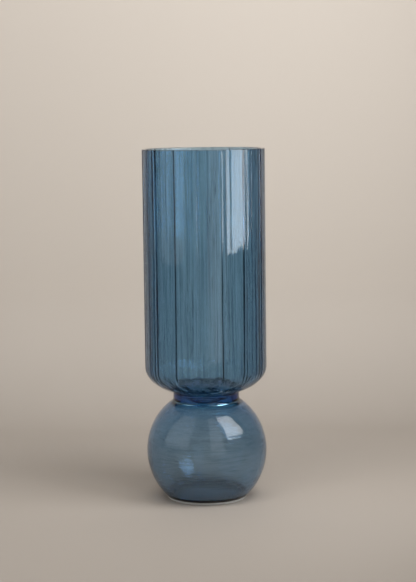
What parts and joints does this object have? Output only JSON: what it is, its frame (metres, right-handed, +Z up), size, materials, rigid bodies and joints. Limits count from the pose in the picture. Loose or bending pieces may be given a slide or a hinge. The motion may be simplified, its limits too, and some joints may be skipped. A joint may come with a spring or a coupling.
{
  "type": "glass vase",
  "caption": "Tall blue glass vase: a ribbed cylinder with a rounded bottom on a thick glass collar and a hollow ball foot.",
  "frame": {"origin": "centre of the resting face, on the vase's axis", "axes": "+Z up along the vase's axis, from the foot to the mouth"},
  "size_m": [0.12, 0.12, 0.344],
  "materials": {
    "cylinder_glass": "clear blue, polished",
    "collar_glass": "deep blue, polished",
    "ball_glass": "clear grey blue, polished"
  },
  "bodies": {
    "root": {"ribbed_cylinder": "cylinder_glass", "neck_collar": "collar_glass", "ball_foot": "ball_glass"}
  },
  "joints": []
}
